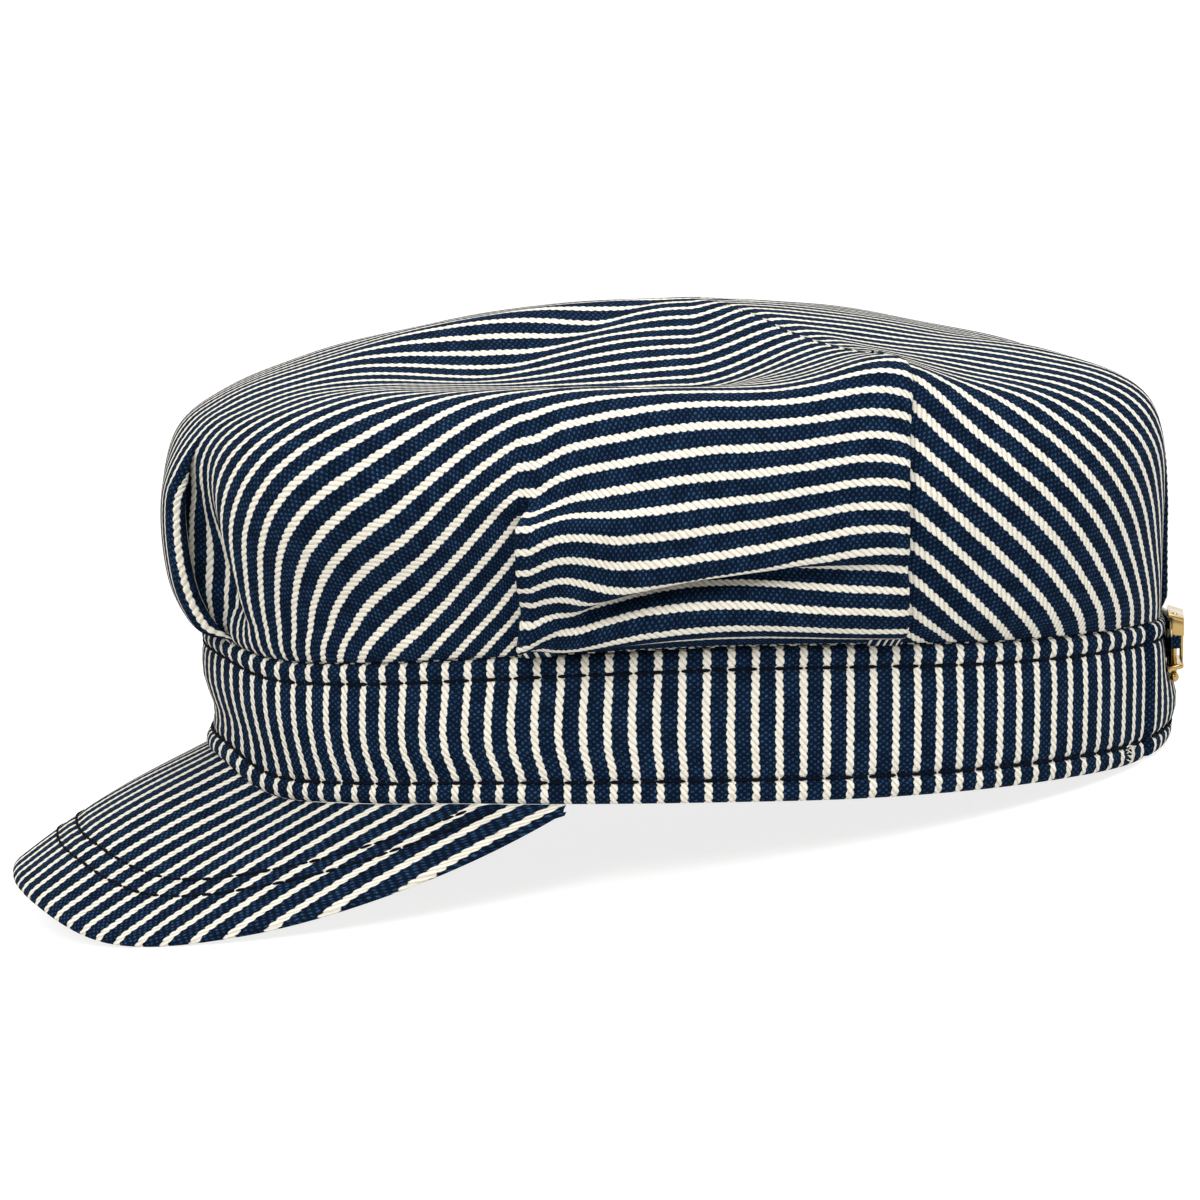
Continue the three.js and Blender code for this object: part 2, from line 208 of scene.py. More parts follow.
# %% Lights and studio
def soft_light(name, place, aim, width, watts, colour=(1, 1, 1)):
    """A square area light that faces a point."""
    data = bpy.data.lights.new(name, "AREA")
    data.size = width
    data.energy = watts
    data.color = colour
    light = bpy.data.objects.new(name, data)
    bpy.context.collection.objects.link(light)
    direction = Vector(aim) - Vector(place)
    light.rotation_euler = direction.to_track_quat("-Z", "Y").to_euler()
    light.location = place


soft_light("overhead", (0.3, 0.35, 1.3), (0, 0, 0.05), 0.9, 8)
soft_light("key", (1.15, -0.35, 1.0), (0, 0, 0.05), 0.7, 14)
soft_light("warm_bounce", (0.7, -1.0, 0.1), (0, 0, 0.04), 0.5, 0.5, (1, 0.78, 0.55))

BRIGHT_SIDE = (-0.5, 0.35, 0.8)
DIM_WALL = (0.3, 0.26, 0.21, 1)
STUDIO_STRENGTH = 1.25

studio = NodeDesk(bpy.data.worlds.new("white_studio"), "Background")
sky = studio.add("ShaderNodeTexCoord")
toward = studio.add("ShaderNodeVectorMath", operation="DOT_PRODUCT")
toward.inputs[1].default_value = BRIGHT_SIDE
studio.join(sky.outputs["Generated"], toward.inputs[0])
dimming = studio.ramp(toward.outputs["Value"], -0.4, 0.5)
studio.join(studio.blend(dimming, DIM_WALL, (1, 1, 1, 1)), studio.shader.inputs["Color"])
studio.fill({"Strength": STUDIO_STRENGTH})
bpy.context.scene.world = studio.owner

# %% [markdown]
# The band is cut to the head, so its inside is an oval. Every other piece is laid out round
# the same oval: an angle says how far round a point lies, from 0 at the front through 90 at
# the wearer's left to 180 at the back, and the height of the band's two edges follows it.

# %% The head oval
HEAD_LENGTH = 200.0
HEAD_WIDTH = 165.0
BAND_WALL = 2.6
BAND_SEAM = 155.0
BACK_TUCK = 1.0
STRAP_REACH = 172
BAND_EDGES = [
    # angle, lower edge, upper edge
    (0, 1.2, 27.0), (15, 0.4, 26.3), (30, -3.9, 23.9), (45, -3.1, 24.8),
    (60, -1.4, 27.0), (75, -0.5, 29.1), (90, 0.0, 30.4), (105, 0.0, 30.4),
    (120, 0.2, 29.6), (135, 0.5, 29.2), (150, 0.7, 29.0), (165, 1.7, 28.6),
    (180, 2.1, 28.4),
]


def side_of(angle):
    """The same angle folded onto the left half of the cap."""
    return abs((angle + 540) % 360 - 180)


def smooth(x, low, high):
    """0 up to low, 1 from high on, and an even S between."""
    t = min(max((x - low) / (high - low), 0), 1)
    return t * t * (3 - 2 * t)


def mix(a, b, t):
    return a + (b - a) * t


def bump(x, middle, wide):
    """A rounded hill, 1 at its middle."""
    return math.exp(-(((x - middle) / wide) ** 2))


def through(values, position):
    """A smooth curve through evenly numbered values."""
    last = len(values) - 1
    i = min(int(position), last - 1)
    t = position - i
    p1, p2 = values[i], values[i + 1]
    p0 = values[i - 1] if i > 0 else 2 * p1 - p2
    p3 = values[i + 2] if i + 2 <= last else 2 * p2 - p1
    curl = t * (3 * (p1 - p2) + p3 - p0) + 2 * p0 - 5 * p1 + 4 * p2 - p3
    return p1 + 0.5 * t * (p2 - p0 + t * curl)


def oval(angle, outside=0.0):
    a = math.radians(angle)
    return Vector((
        (HEAD_WIDTH / 2 + outside) * math.sin(a),
        -(HEAD_LENGTH / 2 + outside) * math.cos(a),
        0,
    ))


def outwards(angle):
    a = math.radians(angle)
    return Vector((math.sin(a) / HEAD_WIDTH, -math.cos(a) / HEAD_LENGTH, 0)).normalized()


def ring_angles(start, end, step):
    """Even angles from start to end, no more than a step apart."""
    count = math.ceil((end - start) / step)
    return [mix(start, end, k / count) for k in range(count + 1)]


def band_edge(edge, angle):
    return through([row[edge] for row in BAND_EDGES], side_of(angle) / BAND_EDGES[1][0])


def back_tuck(angle):
    """How far the strap draws in the top of the band and the foot of the crown."""
    return BACK_TUCK * smooth(side_of(angle), BAND_SEAM + 3, STRAP_REACH)


LOWER, UPPER = 1, 2
print("band height at the side, mm:", band_edge(UPPER, 90) - band_edge(LOWER, 90))

# %% [markdown]
# Cloth pieces are cut flat and then shaped, and they are made here in the same way. A bmesh
# grid is the flat cut, and each of its corners is carried to its place on the cap. The UV map
# keeps where the corner lay on the flat cloth, in metres, so the woven stripes follow every
# fold as they do on the real cap.

# %% Lay a flat grid of cloth in place
def lengths_along(points):
    """How far along a row of points each of them lies."""
    walk = [0.0]
    for a, b in zip(points, points[1:]):
        walk.append(walk[-1] + (b - a).length)
    return walk


def lay_cloth(name, places, flat, closed=False):
    """places[i][j] is where corner i, j goes in the upright cap, and flat[i][j] where it
    lay on the flat cloth in millimetres. A closed grid meets itself at its ends."""
    across, along = len(places) - 1, len(places[0]) - 1
    form = bmesh.new()
    bmesh.ops.create_grid(form, x_segments=across, y_segments=along, size=0.5)
    layer = form.loops.layers.uv.new("cloth")
    index = {}
    for vertex in form.verts:
        i = round((vertex.co.x + 0.5) * across)
        j = round((vertex.co.y + 0.5) * along)
        index[vertex] = (i, j)
    for face in form.faces:
        for loop in face.loops:
            i, j = index[loop.vert]
            loop[layer].uv = (flat[i][j][0] * MM, flat[i][j][1] * MM)
    for vertex, (i, j) in index.items():
        vertex.co = from_cap(*places[i][j])
    if closed:
        bmesh.ops.remove_doubles(form, verts=form.verts, dist=0.004 * MM)
        bmesh.ops.dissolve_degenerate(form, edges=form.edges, dist=0.002 * MM)
    bmesh.ops.recalc_face_normals(form, faces=form.faces)
    return finish_form(form, name)


def finish_form(form, name):
    """Turns a bmesh into an object at the origin, and says how large it is."""
    mesh = bpy.data.meshes.new(name)
    for face in form.faces:
        face.smooth = True
    form.to_mesh(mesh)
    form.free()
    piece = bpy.data.objects.new(name, mesh)
    bpy.context.collection.objects.link(piece)
    corners = np.array([vertex.co for vertex in mesh.vertices])
    size = (corners.max(axis=0) - corners.min(axis=0)) / MM
    print(name, len(mesh.polygons), "faces,", [round(float(s), 1) for s in size], "mm")
    return piece


def give_wall(piece, thickness):
    """Thickens the cloth inwards, so its outer face stays in place."""
    wall = piece.modifiers.new("wall", "SOLIDIFY")
    wall.thickness = thickness * MM
    wall.offset = -1.0


# %% [markdown]
# The crown is one round piece of cloth, drawn in to the band by eight knife pleats. Its main
# form is kept as three sections, at the front, the side and the back, that run from the foot
# to the middle of the top. They are the model's own tables, so the dressed cap keeps its
# size. Any other angle is a blend of two of them.

# %% The crown's sections
CROWN_TOP = 95.3
CROWN_FOOT = BAND_WALL - 0.7
PLEAT_TURN = 24.0
SECTIONS = {"reach": {
    "front": [1.0, 1.045, 1.078, 1.086, 1.055, 0.96, 0.79, 0.59, 0.34, 0],
    "side": [1.0, 1.065, 1.105, 1.14, 1.12, 1.04, 0.85, 0.62, 0.35, 0],
    "back": [1.0, 0.997, 0.995, 0.99, 0.968, 0.912, 0.755, 0.56, 0.33, 0],
}, "height": {
    "front": [0, 0.07, 0.19, 0.4, 0.6, 0.715, 0.815, 0.9, 0.972, 1],
    "side": [0, 0.08, 0.22, 0.42, 0.63, 0.765, 0.825, 0.885, 0.965, 1],
    "back": [0, 0.07, 0.2, 0.4, 0.57, 0.705, 0.815, 0.888, 0.96, 1],
}}
RIM = 5
MIDDLE = 9


@functools.lru_cache(maxsize=None)
def around(table, angle):
    """The values of a front, side and back table, blended for an angle."""
    c = math.cos(math.radians(side_of(angle)))
    end = SECTIONS[table]["front" if c > 0 else "back"]
    return tuple(mix(side, other, c * c) for side, other in zip(SECTIONS[table]["side"], end))


def crown_height(angle, position):
    return through(around("height", round(angle, 4)), position)


print("height of the rim at the side, share:", round(crown_height(90, RIM), 3))

# %% [markdown]
# The pleats make eight panels, and the upright and level ones lie over the slanted ones. A
# pleat is closed near the top and opens toward the band. A fold is a rounded hill or hollow
# that stops at its own panel's edge, as it does in real cloth.

# %% Pleats and folds
Pleat = namedtuple("Pleat", "angle opens takes over lift depth fade blend")
PLEATS = [
    # angle, height where it opens, height it takes to open, which side lies over, lift of the
    # upper panel and depth of the fold in mm, degrees over which the lift fades and over
    # which the closed pleat blends
    Pleat(20.0, 0.63, 0.22, -1, 3.0, 7.5, 10.0, 9.0),
    Pleat(67.5, 0.47, 0.07, 1, 4.6, 6.5, 13.0, 14.0),
    Pleat(110.0, 0.83, 0.09, -1, 2.8, 6.0, 13.0, 7.0),
    Pleat(170.0, 0.67, 0.14, 1, 1.6, 6.0, 9.0, 12.0),
]
Fold = namedtuple("Fold", "panel angle wide height tall push tip bend sag", defaults=(0, 0, 0))
EVERY = None
FRONT, SLANT, SIDE, REAR_SLANT, BACK = range(5)
FOLDS = {
    # panel, angle, wide, height, tall, push in mm,
    # tip per degree, bend per square degree in front of its middle, sag in mm
    "front_slit": Fold(SLANT, 23, 4.4, 0.16, 0.17, -6.2),
    "front_hollow": Fold(SLANT, 23, 6, 0.36, 0.2, -4.2),
    "slant_hollow": Fold(SLANT, 48, 24, 0.14, 0.2, -4.5),
    "slant_swell": Fold(SLANT, 42, 9, 0.5, 0.22, 2.0, 0.004),
    "corner_droop": Fold(SIDE, 68, 17, 0.4, 0.17, 4.5),
    "under_droop": Fold(SIDE, 66, 16, 0.14, 0.06, -4.0, 0.003),
    "side_crease": Fold(SIDE, 87, 18, 0.22, 0.032, -5.5, 0.0015, -0.00045),
    "crease_lip": Fold(SIDE, 85, 18, 0.285, 0.055, 1.6, 0.0015, -0.00045, 3.0),
    "side_roll": Fold(SIDE, 86, 18, 0.1, 0.06, 2.5),
    "corner_point": Fold(EVERY, 109, 8, 0.78, 0.08, 4.5),
    "back_corner": Fold(EVERY, 155, 15, 0.66, 0.2, 3.2),
}


def pleat_open(pleat, height):
    """0 above, where a pleat is closed, and 1 below, where it is open."""
    return smooth(pleat.opens - height, 0, pleat.takes)


def pleat_shares(at, height, number=None, lower=0.0):
    """For each pleat, 0 in front of it and 1 behind it. The change is wide where the pleat
    is closed, sharp where it is open, and follows the cloth through the fold."""
    shares = []
    for k, pleat in enumerate(PLEATS):
        opened = pleat_open(pleat, height)
        wide = pleat.blend * (1 - opened) + 0.01
        share = smooth(at - pleat.angle, -wide, wide)
        if number == k:
            share = mix(share, lower if pleat.over < 0 else 1 - lower, opened)
        shares.append(share)
    return shares


def panel_weight(panel, shares):
    """How much a place belongs to a panel, from 0 to 1."""
    before = 1.0 if panel == FRONT else shares[panel - 1]
    after = 0.0 if panel == BACK else shares[panel]
    return before - after


def fold_push(at, height, shares):
    """How far the folds move the cloth out, and how far down."""
    push = sag = 0.0
    for fold in FOLDS.values():
        past = at - fold.angle
        line = fold.height + fold.tip * past + fold.bend * min(past, 0) ** 2
        here = bump(past, 0, fold.wide) * bump(height, line, fold.tall)
        if fold.panel is not EVERY:
            here *= panel_weight(fold.panel, shares)
        push += fold.push * here
        sag += fold.sag * here
    return push, sag


print("pleats:", 2 * len(PLEATS), "folds a side:", len(FOLDS))

# %% [markdown]
# The top of a worn cap sags a little and its cloth is never quite even. A point of the crown
# is found on the sections first. Then it is pushed square to them by its folds, by the lift
# of its pleat and by these small wrinkles.

# %% A point of the crown
TROUGH_DEPTH = 9.0


def top_trough(at, position):
    """The top sinks between the rim and the middle, most of all beside the front."""
    beside = smooth(at, 12, 42) * (1 - smooth(at, 86, 116))
    return TROUGH_DEPTH * beside * bump(position, 7.2, 1.3) * (1 - smooth(position, 8.2, 9))


def wrinkles(x, y, position):
    """Slight unevenness of the cloth on the top, in mm."""
    wave = math.sin(x * 0.11 + y * 0.05 + 0.6) + 0.7 * math.sin(y * 0.093 - x * 0.06 + 2.0)
    wave += 0.5 * math.sin(x * 0.21 - y * 0.12) + 0.35 * math.sin(y * 0.23 + x * 0.17 + 1.1)
    return 0.2 * wave * smooth(position, 3.5, 6) * (1 - smooth(position, 8.4, 9))


def crown_point(angle, position, lift=0.0, shares=None, inset=0.0):
    """A point of the crown, raised off its form by lift, or drawn in by inset."""
    angle = round(angle, 4)
    at = side_of(angle)
    steps = (position, max(position - 0.05, 0), min(position + 0.05, MIDDLE))
    reach, reach_below, reach_above = [through(around("reach", angle), p) for p in steps]
    height, below, above = [through(around("height", angle), p) for p in steps]
    foot = band_edge(UPPER, angle) + 0.3
    turned = angle - PLEAT_TURN * math.sin(math.radians(4 * angle)) * max(reach - 1, 0)
    point = oval(turned, CROWN_FOOT - back_tuck(angle) - inset)
    rise_out = (reach_above - reach_below) * point.length
    rise_up = (above - below) * (CROWN_TOP - foot)
    length = math.hypot(rise_out, rise_up)
    push, sag = fold_push(at, height, shares or pleat_shares(at, height))
    push += lift - top_trough(at, position) + wrinkles(point.x * reach, point.y * reach, position)
    footed = smooth(position, 0, 1)
    push *= footed
    point = point * reach + outwards(turned) * (push * rise_up / length)
    point.z = mix(foot, CROWN_TOP, height) - push * rise_out / length - sag * footed
    return point


print("crown at the side of the rim, mm:", [round(c, 1) for c in crown_point(90, RIM)])

# %% [markdown]
# A knife pleat is a flat Z of cloth: the upper panel ends in a rolled edge, the cloth runs
# back under it and comes forward again as the lower panel. Each pleat is a set of extra
# columns that lie side by side where it is closed and slide into the Z where it is open. A
# real Z, not a step, gives the dark line and the thickness that the eye expects.

# %% Columns of the crown, with the pleats' Z folds
PLEAT_MM_PER_DEGREE = 1.75
Z_FOLD = [
    # forward in mm, backward as a share of the depth, lift, share of the lower panel
    (-0.5, 0.0, 1.0, 0.0),
    (0.25, 0.0, 0.97, 0.0),
    (0.8, 0.0, 0.82, 0.0),
    (1.05, 0.0, 0.55, 0.0),
    (0.8, 0.0, 0.28, 0.0),
    (0.2, 0.0, 0.13, 0.05),
    (0.0, 0.33, 0.12, 0.35),
    (0.0, 0.7, 0.12, 0.65),
    (0.0, 1.0, 0.1, 0.9),
    (0.0, 1.0, 0.0, 1.0),
    (0.0, 0.5, 0.0, 1.0),
    (-0.5, 0.0, 0.0, 1.0),
]
CROWN_STEP = 1.3
FOLD_ROOM = 1.0
FOLD_INSET = 0.9
ROWS_BELOW = 54
ROWS_ABOVE = 36


def crown_columns():
    """Each column as (angle, pleat number or None, row of the Z fold)."""
    half, start = [], 0.0
    for number, pleat in enumerate(PLEATS):
        flat_part = ring_angles(start, pleat.angle - FOLD_ROOM, CROWN_STEP)
        half += [(angle, None, None) for angle in flat_part]
        order = range(len(Z_FOLD)) if pleat.over < 0 else reversed(range(len(Z_FOLD)))
        half += [(pleat.angle, number, row) for row in order]
        start = pleat.angle + FOLD_ROOM
    half += [(angle, None, None) for angle in ring_angles(start, 180, CROWN_STEP)]
    other = [(-angle, number, row) for angle, number, row in reversed(half[1:])]
    return other + half


columns = crown_columns()
plain_columns = [i for i, column in enumerate(columns) if column[1] is None]
rows = [RIM * k / ROWS_BELOW for k in range(ROWS_BELOW + 1)]
rows += [mix(RIM, MIDDLE, (k / ROWS_ABOVE) ** 0.9) for k in range(1, ROWS_ABOVE + 1)]
print("crown grid:", len(columns), "columns by", len(rows), "rows")


def flat_spot(number, fold):
    """How many degrees before the pleat's middle a row of its fold lies where it is closed."""
    return PLEATS[number].over * mix(-0.8, 0.8, fold / (len(Z_FOLD) - 1)) * FOLD_ROOM


def crown_column(angle, number, fold):
    """The places of one column of the grid."""
    places = []
    own = abs(angle) if number is None else abs(angle) - flat_spot(number, fold)
    side = 1 if angle >= 0 else -1
    for position in rows:
        height = min(crown_height(angle, position), 1)
        at, lift, lower, inset = abs(angle), 0.0, 0.0, 0.0
        if number is not None:
            pleat = PLEATS[number]
            opened = pleat_open(pleat, height)
            forward, backward, raised, lower = Z_FOLD[fold]
            folded_spot = pleat.over * (forward - backward * pleat.depth) / PLEAT_MM_PER_DEGREE
            at = pleat.angle - mix(flat_spot(number, fold), folded_spot, opened)
            lift = pleat.lift * raised * opened
            inset = FOLD_INSET * (1 - raised) * opened
        else:
            for pleat in PLEATS:
                past = (at - pleat.angle) * pleat.over
                if past > 0:
                    lift += pleat.lift * pleat_open(pleat, height) * bump(past, 0, pleat.fade)
        shares = pleat_shares(own, height, number, lower)
        places.append(crown_point(side * at, position, lift, shares, inset))
    places[-1] = Vector((0, 0, CROWN_TOP))
    return places


crown_places = [crown_column(*column) for column in columns]

# %% [markdown]
# Stripes run from front to back over the whole round piece. Where a panel turns down at the
# rim it keeps its own direction: upright stripes on the front and back, level ones on the
# sides, slanted ones between. Each corner's place on the flat cloth is found by walking down
# its column and adding up the lengths.

# %% How the flat cloth runs on each panel
SLANTED = 0.7071
PANELS = [
    # how fast the cloth runs sideways and forwards as it goes down each panel
    (0.0, 1.0),
    (SLANTED, SLANTED),
    (1.0, 0.0),
    (SLANTED, -SLANTED),
    (0.0, -1.0),
]
FRONT_TURN = (20.5, 53.0)
FRONT_STEP = 0.45
Z_HEIGHT = 3.5


def z_lengths(depth):
    """How far along the cloth each row of the Z fold lies, as a share of the whole."""
    walk = lengths_along([Vector((f - b * depth, lift * Z_HEIGHT)) for f, b, lift, _ in Z_FOLD])
    return [w / walk[-1] for w in walk]


def cloth_directions(angle, number, fold, height, level_share):
    """How the flat cloth runs at one corner of the grid: sideways and forwards."""
    at = abs(angle) if number is None else abs(angle) - flat_spot(number, fold)
    lower = 0.0 if number is None else Z_FOLD[fold][3]
    shares = pleat_shares(at, height, number, lower)
    stepped = smooth(at - PLEATS[0].angle, -0.1, 0.1)
    if number == 0:
        stepped = z_lengths(PLEATS[0].depth)[fold]
    turned = FRONT_STEP * stepped + (1 - FRONT_STEP) * smooth(at, *FRONT_TURN)
    shares[0] = mix(shares[0], turned, pleat_open(PLEATS[0], height))
    weights = [panel_weight(panel, shares) for panel in range(len(PANELS))]
    weights[SIDE] *= level_share
    return [sum(w * way[axis] for w, way in zip(weights, PANELS)) for axis in (0, 1)]


def walk_columns():
    """How far down the cloth each row of every column lies from the middle of the top.
    Inside a pleat it is a blend of the columns beside the pleat."""
    walks = [lengths_along(places[::-1])[::-1] for places in crown_places]
    smoothed = list(walks)
    for i, (_, number, _) in enumerate(columns):
        if number is not None:
            before = max(k for k in plain_columns if k < i)
            after = min(k for k in plain_columns if k > i)
            share = (i - before) / (after - before)
            smoothed[i] = [mix(a, b, share) for a, b in zip(walks[before], walks[after])]
    return smoothed


crown_walks = walk_columns()
print("from the middle of the top to the foot at the back, mm:", round(crown_walks[0][0]))

# %% [markdown]
# The two panels' cloth meets out of sight inside an open pleat. Near the edge that shows, a
# corner's place on the flat cloth is walked by real length from the panel, so the cord and
# the weave keep their true size as they roll over the edge.

# %% Roll the cloth over the edges of the pleats
HIDDEN_TURN = 9
UPRIGHT_PLEATS = (0, 3)
SIDEWAYS, FORWARDS = 0, 1


def fold_paths(number, start):
    """The columns of one pleat in order from the panel above it, and from the one below."""
    sign = 1 if columns[start][0] >= 0 else -1
    order = list(range(start - 1, start + len(Z_FOLD) + 1))
    from_above = order if sign * PLEATS[number].over < 0 else order[::-1]
    return sign, from_above[:HIDDEN_TURN + 1], from_above[:HIDDEN_TURN:-1]


def walk_fold(flat, j, number, start):
    """Lets the stripes and the weave keep their true size round the rolled edge of an open
    pleat. The front and back panels walk sideways, the side panel forwards."""
    opened = pleat_open(PLEATS[number], min(crown_height(columns[start][0], rows[j]), 1))
    if opened <= 0:
        return
    sign, above, below = fold_paths(number, start)
    if number in UPRIGHT_PLEATS:
        axis = SIDEWAYS
        paths = ((above, sign), (below, -sign))
    else:
        axis = FORWARDS
        paths = ((above, PLEATS[number].over),)
    for path, heading in paths:
        reach = flat[path[0]][j][axis]
        for a, b in zip(path, path[1:]):
            reach += heading * (crown_places[b][j] - crown_places[a][j]).length
            spot = list(flat[b][j])
            spot[axis] = mix(spot[axis], reach, opened)
            flat[b][j] = tuple(spot)


print("a pleat takes", len(Z_FOLD), "columns, of which", HIDDEN_TURN, "lie on its rolled edge")

# %% [markdown]
# Now every column is walked from the middle of the top down to the foot, its place on the
# flat cloth moves by the same lengths the way its panel runs, and the grid can be laid.

# %% Lay the crown
LEVEL_ANGLE = 95
LEVEL_LIMITS = (0.75, 1.25)


def crown_flat():
    """Where each corner of the crown lay on the flat cloth."""
    rim_row = rows.index(RIM)
    level = min(plain_columns, key=lambda i: abs(columns[i][0] - LEVEL_ANGLE))
    side_total = crown_walks[level][0]
    flat = []
    for (angle, number, fold), places, walk in zip(columns, crown_places, crown_walks):
        rim = places[rim_row]
        plan = math.hypot(rim.x, rim.y)
        across, ahead = rim.x / plan, -rim.y / plan
        sign = 1 if angle >= 0 else -1
        spots = [(down * across, down * ahead) for down in walk]
        level_share = (side_total - abs(spots[rim_row][0])) / (walk[0] - walk[rim_row])
        level_share = min(max(level_share, LEVEL_LIMITS[0]), LEVEL_LIMITS[1])
        for j in range(rim_row - 1, -1, -1):
            height = crown_height(angle, rows[j])
            sideways, forwards = cloth_directions(angle, number, fold, height, level_share)
            step = walk[j] - walk[j + 1]
            x, y = spots[j + 1]
            spots[j] = (x + sign * sideways * step, y + forwards * step)
        flat.append(spots)
    for start, (_, number, _) in enumerate(columns):
        if number is not None and columns[start - 1][1] is None:
            for j in range(rim_row):
                walk_fold(flat, j, number, start)
    return flat


crown_cut = crown_flat()
crown = lay_cloth("crown_cloth", crown_places, crown_cut, closed=True)
give_wall(crown, 1.0)

# %% [markdown]
# The band is a strip of the same cloth wrapped round stiffening, with its stripes upright.
# Its section has two grooves for the stitches and a small welt beyond each. It is carried
# round the oval from one seam to the other, with a few gentle waves where the thick cloth
# has buckled at the front.

# %% Band
BAND_STEP = 0.8
SEAM_FRONT = BAND_SEAM + 0.05
SEAM_BACK = BAND_SEAM + 0.3
HALF_STRIPE = 2.4
BAND_FACE = [
    # share of the height, face beyond the middle of the swell in mm
    (0.0, -1.1), (0.015, -0.45), (0.04, -0.08), (0.08, 0.1),
    (0.115, -0.05), (0.135, -0.6), (0.145, -0.85), (0.16, -0.62),
    (0.19, -0.2), (0.26, 0.0), (0.36, 0.05), (0.48, 0.1),
    (0.6, 0.12), (0.7, 0.05), (0.79, -0.08), (0.83, -0.28),
    (0.848, -0.55), (0.858, -0.6), (0.87, -0.45), (0.895, -0.05),
    (0.93, 0.12), (0.965, -0.05), (0.985, -0.4), (1.0, -1.1),
]


def band_swell(angle, share):
    """How far the face of the band stands outside the head."""
    side = side_of(angle)
    drawn = 2.6 * bump(side, 0, 34) * bump(share, 0.3, 0.22)
    swollen = 2.0 * smooth(side, 155, 178) * bump(share, 0.32, 0.24)
    return BAND_WALL - drawn + swollen - back_tuck(angle) * smooth(share, 0.42, 0.6)


def band_wave(angle, share):
    """The band's shallow waves, strongest in its lower half beside the front."""
    side = side_of(angle)
    near_front = bump(side, 33, 26)
    ripple = math.sin(math.radians(side * 11.0 + share * 85)) * 0.28 * near_front
    slow = math.sin(math.radians(angle * 3.1 + 40)) * 0.14
    pucker = -0.9 * bump(side, 56, 28) * bump(share, 0.21, 0.08)
    return (ripple + slow) * math.sin(math.pi * share) + pucker


def band_point(angle, share, face):
    far = band_swell(angle, share) + face + band_wave(angle, share)
    point = oval(angle) + outwards(angle) * far
    point.z = mix(band_edge(LOWER, angle), band_edge(UPPER, angle), share)
    return point


def band_lean(angle, share):
    """The cloth of the band is twisted beside the front: its stripes lean as they go down."""
    side = side_of(angle)
    twist = 3.6 * bump(side, 31, 16) * (1 - share) ** 1.4
    kick = 1.8 * bump(side, 60, 22) * (1 - smooth(share, 0.1, 0.42) - 0.4 * bump(share, 0.5, 0.2))
    return (twist + kick) * (1 if angle > 0 else -1)


def band_strip(name, start, end, proud, ends_in, first):
    """The outside of the band between two angles, with its ends turned in. The cloth is cut
    so that its stripes start a little way along, given by first in millimetres."""
    angles = ring_angles(start, end, BAND_STEP)
    places, flat = [], []
    run, tuck_before = first, 0.0
    for i, angle in enumerate(angles):
        from_end = min(i, len(angles) - 1 - i)
        tuck = ends_in * (1 - smooth(from_end, -0.4, 1.9))
        if i:
            step = (oval(angle, 3) - oval(angles[i - 1], 3)).length
            run += math.hypot(step, tuck - tuck_before)
        tuck_before = tuck
        column = [band_point(angle, share, face + proud - tuck) for share, face in BAND_FACE]
        places.append(column)
        flat.append([
            (run - band_lean(angle, share), column[0].z + up)
            for up, (share, _) in zip(lengths_along(column), BAND_FACE)
        ])
    piece = lay_cloth(name, places, flat)
    give_wall(piece, 1.6)
    return piece


band = band_strip("band_cloth", -SEAM_FRONT, SEAM_FRONT, 0.0, 3.6, 0.0)
band_back = band_strip("band_back_cloth", SEAM_BACK, 360 - SEAM_BACK, 0.25, 3.0, HALF_STRIPE)
print("band seam on the left, mm:", [round(c, 1) for c in band_point(BAND_SEAM, 0.5, 0)])

# %% [markdown]
# The peak is a crescent of stiff board covered with cloth, its stripes running straight
# ahead. Its section goes from under the band out over the top, round the rolled edge and
# back underneath, and every column of the grid runs straight forwards so the stripes do too.

# %% Peak
PEAK_CORNER = 72.5
PEAK_REACH = 41.5
PEAK_SLOPE = 31
CORNER_SLOPE = 50
PEAK_SPREAD = 0.62
PEAK_RISE = 2.0
STITCH_ROWS = (15.5, 10.8)
EDGE_ROLL = 9
EDGE_BULGE = 0.25
PEAK_ALONG = [0, 0.02, 0.05, 0.1, 0.16, 0.22, 0.28, 0.34, 0.4, 0.46, 0.52, 0.58, 0.63, 0.68,
              0.72, 0.76, 0.8, 0.84, 0.88, 0.91, 0.94, 0.96]


def peak_shape(angle):
    share = side_of(angle) / PEAK_CORNER
    run = max(PEAK_REACH * (1 - share ** 2), 0.6)
    slope = math.radians(mix(PEAK_SLOPE, CORNER_SLOPE, share ** 1.2))
    wall = mix(2.55, 1.5, share ** 4)
    return share, run, slope, wall


def peak_point(angle, along, off=0.0):
    """A point of the peak's top face, off its face by a little."""
    share, run, slope, _ = peak_shape(angle)
    heading = math.radians(angle * PEAK_SPREAD)
    edge = oval(angle) + outwards(angle) * (band_swell(angle, 0) - 1.0)
    rise = PEAK_RISE * math.sin(math.pi * along ** 1.15) * (1 - share ** 2)
    return Vector((
        edge.x + math.sin(heading) * run * along,
        edge.y - math.cos(heading) * run * along,
        band_edge(LOWER, angle) - 0.05 - run * math.tan(slope) * along + rise + off,
    ))


def peak_groove(angle, along):
    """Two rows of stitches sink the cloth a little along the peak's edge."""
    _, run, slope, _ = peak_shape(angle)
    inside = (1 - along) * run / math.cos(slope)
    return -0.28 * bump(inside, STITCH_ROWS[0], 0.7) - 0.22 * bump(inside, STITCH_ROWS[1], 0.7)


def across_peak(p):
    """How far a point lies from the peak's middle along its curve, taken as a parabola."""
    front = peak_point(0, 0)
    level = front.z + (p.y - front.y) * math.tan(math.radians(PEAK_SLOPE))
    curve = max(level - p.z, 0.01) / max(p.x * p.x, 1)
    lean = 2 * curve * abs(p.x)
    arc = abs(p.x) / 2 * math.sqrt(1 + lean * lean) + math.asinh(lean) / (4 * curve)
    return math.copysign(arc, p.x)


